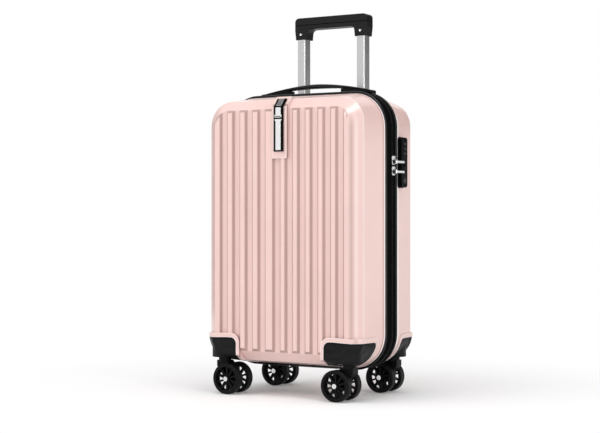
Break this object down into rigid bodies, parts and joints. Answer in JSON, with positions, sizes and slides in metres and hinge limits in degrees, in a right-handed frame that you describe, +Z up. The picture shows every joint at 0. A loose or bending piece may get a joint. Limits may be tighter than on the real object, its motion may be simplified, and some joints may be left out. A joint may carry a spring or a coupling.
{
  "type": "suitcase",
  "caption": "Upright hard shell cabin case with ribbed zipped halves, swivelling twin wheels, pull-out handle, carry handle and side combination lock.",
  "frame": {"origin": "on the floor under the middle of the case", "axes": "+X to the case's right seen from the front, -Y towards the ribbed front, +Z up"},
  "size_m": [0.3426, 0.2204, 0.6944],
  "materials": {
    "shell": "glossy pale pink polycarbonate blend",
    "tape": "black woven zip tape with piping",
    "coil": "black moulded coil",
    "slider": "bright plated zinc",
    "pull": "bright plated zinc",
    "lock_body": "black satin plastic",
    "key_metal": "plated key plug",
    "dial": "black dials with plain numbers",
    "guard": "black textured plastic",
    "fixings": "zinc plated steel",
    "fork": "black nylon",
    "axle": "bright rivet",
    "wheel": "black nylon with moulded tread",
    "tube": "satin anodised aluminium",
    "guide": "black acetal",
    "plunger": "plain steel",
    "grip": "black satin plastic",
    "button": "dark grey plastic",
    "screw": "bright screw head",
    "housing": "black plastic",
    "strap_handle": "black soft-touch moulding",
    "plate": "black gloss plastic",
    "bars": "bright plated",
    "lining": "dark grey woven lining",
    "webbing": "black elastic webbing",
    "buckle": "black acetal"
  },
  "bodies": {
    "back": {"back_shell": "shell", "back_zip_tape": "tape", "back_zip_coil": "coil", "hinge_gusset": "tape", "zip_sliders": "slider", "lock_housing": "lock_body", "back_left_corner_guard": "guard", "back_right_corner_guard": "guard", "back_caster_fixings": "fixings", "outer_tubes": "tube", "handle_housing": "housing", "handle_foot": "housing", "carry_handle": "strap_handle", "carry_mounts": "grip", "back_lining": "lining", "pack_straps": "webbing", "strap_buckle": "buckle"},
    "lid": {"front_shell": "shell", "front_zip_tape": "tape", "front_zip_coil": "coil", "front_left_corner_guard": "guard", "front_right_corner_guard": "guard", "front_caster_fixings": "fixings", "nameplate_base": "plate", "nameplate_bars": "bars", "front_lining": "lining"},
    "middle_stage": {"middle_tubes": "tube", "middle_guides": "guide"},
    "inner_stage": {"inner_tubes": "tube", "inner_guides": "guide", "grip_body": "grip", "grip_cover": "grip", "grip_screws": "screw", "button_spring": "plunger"},
    "button": {"grip_button": "button", "push_rods": "plunger"},
    "plungers": {"lock_plungers": "plunger"},
    "upper_pull": {"upper_zip_pull": "pull"},
    "lower_pull": {"lower_zip_pull": "pull"},
    "release": {"lock_release": "lock_body"},
    "key": {"key_cylinder": "key_metal"},
    "dial_1": {"number_dial_1": "dial"},
    "dial_2": {"number_dial_2": "dial"},
    "dial_3": {"number_dial_3": "dial"},
    "front_left_caster": {"front_left_fork": "fork", "front_left_axle": "axle"},
    "front_left_wheel_a": {"front_left_wheel_a": "wheel"},
    "front_left_wheel_b": {"front_left_wheel_b": "wheel"},
    "front_right_caster": {"front_right_fork": "fork", "front_right_axle": "axle"},
    "front_right_wheel_a": {"front_right_wheel_a": "wheel"},
    "front_right_wheel_b": {"front_right_wheel_b": "wheel"},
    "back_left_caster": {"back_left_fork": "fork", "back_left_axle": "axle"},
    "back_left_wheel_a": {"back_left_wheel_a": "wheel"},
    "back_left_wheel_b": {"back_left_wheel_b": "wheel"},
    "back_right_caster": {"back_right_fork": "fork", "back_right_axle": "axle"},
    "back_right_wheel_a": {"back_right_wheel_a": "wheel"},
    "back_right_wheel_b": {"back_right_wheel_b": "wheel"}
  },
  "joints": [
    {"name": "lid_hinge", "type": "hinge", "parent": "back", "child": "lid", "pos_m": [-0.1682, 0.005, 0.2952], "axis": [0, 0, 1], "range_deg": [-180, 0], "deforming": ["hinge_gusset"]},
    {"name": "middle_stage_slide", "type": "slide", "parent": "back", "child": "middle_stage", "axis": [0, 0, 1], "range_m": [0, 0.23]},
    {"name": "inner_stage_slide", "type": "slide", "parent": "middle_stage", "child": "inner_stage", "axis": [0, 0, 1], "range_m": [-0.1458, 0.11]},
    {"name": "grip_button_press", "type": "slide", "parent": "inner_stage", "child": "button", "axis": [0, 0, 1], "range_m": [-0.004, 0], "stiffness_N_per_m": 900, "springref_m": 0.003, "deforming": ["button_spring"]},
    {"name": "plunger_draw", "type": "slide", "parent": "inner_stage", "child": "plungers", "axis": [0, 1, 0], "range_m": [-0.002, 0]},
    {"name": "lock_release_slide", "type": "slide", "parent": "back", "child": "release", "axis": [0, 0, 1], "range_m": [0, 0.003]},
    {"name": "key_turn", "type": "hinge", "parent": "back", "child": "key", "pos_m": [0.17, 0.0356, 0.3837], "axis": [1, 0, 0], "range_deg": [0, 90]},
    {"name": "upper_pull_swing", "type": "hinge", "parent": "back", "child": "upper_pull", "pos_m": [0.1724, 0.007, 0.4167], "axis": [0, 0, 1], "range_deg": [-120, 0]},
    {"name": "lower_pull_swing", "type": "hinge", "parent": "back", "child": "lower_pull", "pos_m": [0.1724, 0.007, 0.3992], "axis": [0, 0, 1], "range_deg": [-120, 0]},
    {"name": "dial_1_turn", "type": "hinge", "parent": "back", "child": "dial_1", "pos_m": [0.1686, 0.038, 0.4317], "axis": [0, 0, 1], "continuous": true},
    {"name": "dial_2_turn", "type": "hinge", "parent": "back", "child": "dial_2", "pos_m": [0.1686, 0.038, 0.4403], "axis": [0, 0, 1], "continuous": true},
    {"name": "dial_3_turn", "type": "hinge", "parent": "back", "child": "dial_3", "pos_m": [0.1686, 0.038, 0.4489], "axis": [0, 0, 1], "continuous": true},
    {"name": "front_left_swivel", "type": "hinge", "parent": "lid", "child": "front_left_caster", "pos_m": [-0.13, -0.0851, 0.06], "axis": [0, 0, 1], "continuous": true},
    {"name": "front_left_wheel_a_spin", "type": "hinge", "parent": "front_left_caster", "child": "front_left_wheel_a", "pos_m": [-0.113, -0.0851, 0.0278], "axis": [0, 1, 0], "continuous": true},
    {"name": "front_left_wheel_b_spin", "type": "hinge", "parent": "front_left_caster", "child": "front_left_wheel_b", "pos_m": [-0.113, -0.0851, 0.0278], "axis": [0, 1, 0], "continuous": true},
    {"name": "front_right_swivel", "type": "hinge", "parent": "lid", "child": "front_right_caster", "pos_m": [0.13, -0.0851, 0.06], "axis": [0, 0, 1], "continuous": true},
    {"name": "front_right_wheel_a_spin", "type": "hinge", "parent": "front_right_caster", "child": "front_right_wheel_a", "pos_m": [0.113, -0.0851, 0.0278], "axis": [0, 1, 0], "continuous": true},
    {"name": "front_right_wheel_b_spin", "type": "hinge", "parent": "front_right_caster", "child": "front_right_wheel_b", "pos_m": [0.113, -0.0851, 0.0278], "axis": [0, 1, 0], "continuous": true},
    {"name": "back_left_swivel", "type": "hinge", "parent": "back", "child": "back_left_caster", "pos_m": [-0.13, 0.0765, 0.06], "axis": [0, 0, 1], "continuous": true},
    {"name": "back_left_wheel_a_spin", "type": "hinge", "parent": "back_left_caster", "child": "back_left_wheel_a", "pos_m": [-0.113, 0.0765, 0.0278], "axis": [0, 1, 0], "continuous": true},
    {"name": "back_left_wheel_b_spin", "type": "hinge", "parent": "back_left_caster", "child": "back_left_wheel_b", "pos_m": [-0.113, 0.0765, 0.0278], "axis": [0, 1, 0], "continuous": true},
    {"name": "back_right_swivel", "type": "hinge", "parent": "back", "child": "back_right_caster", "pos_m": [0.13, 0.0765, 0.06], "axis": [0, 0, 1], "continuous": true},
    {"name": "back_right_wheel_a_spin", "type": "hinge", "parent": "back_right_caster", "child": "back_right_wheel_a", "pos_m": [0.113, 0.0765, 0.0278], "axis": [0, 1, 0], "continuous": true},
    {"name": "back_right_wheel_b_spin", "type": "hinge", "parent": "back_right_caster", "child": "back_right_wheel_b", "pos_m": [0.113, 0.0765, 0.0278], "axis": [0, 1, 0], "continuous": true}
  ],
  "couplings": [
    {"joint": "plunger_draw", "follows": "grip_button_press", "ratio": 0.5}
  ]
}
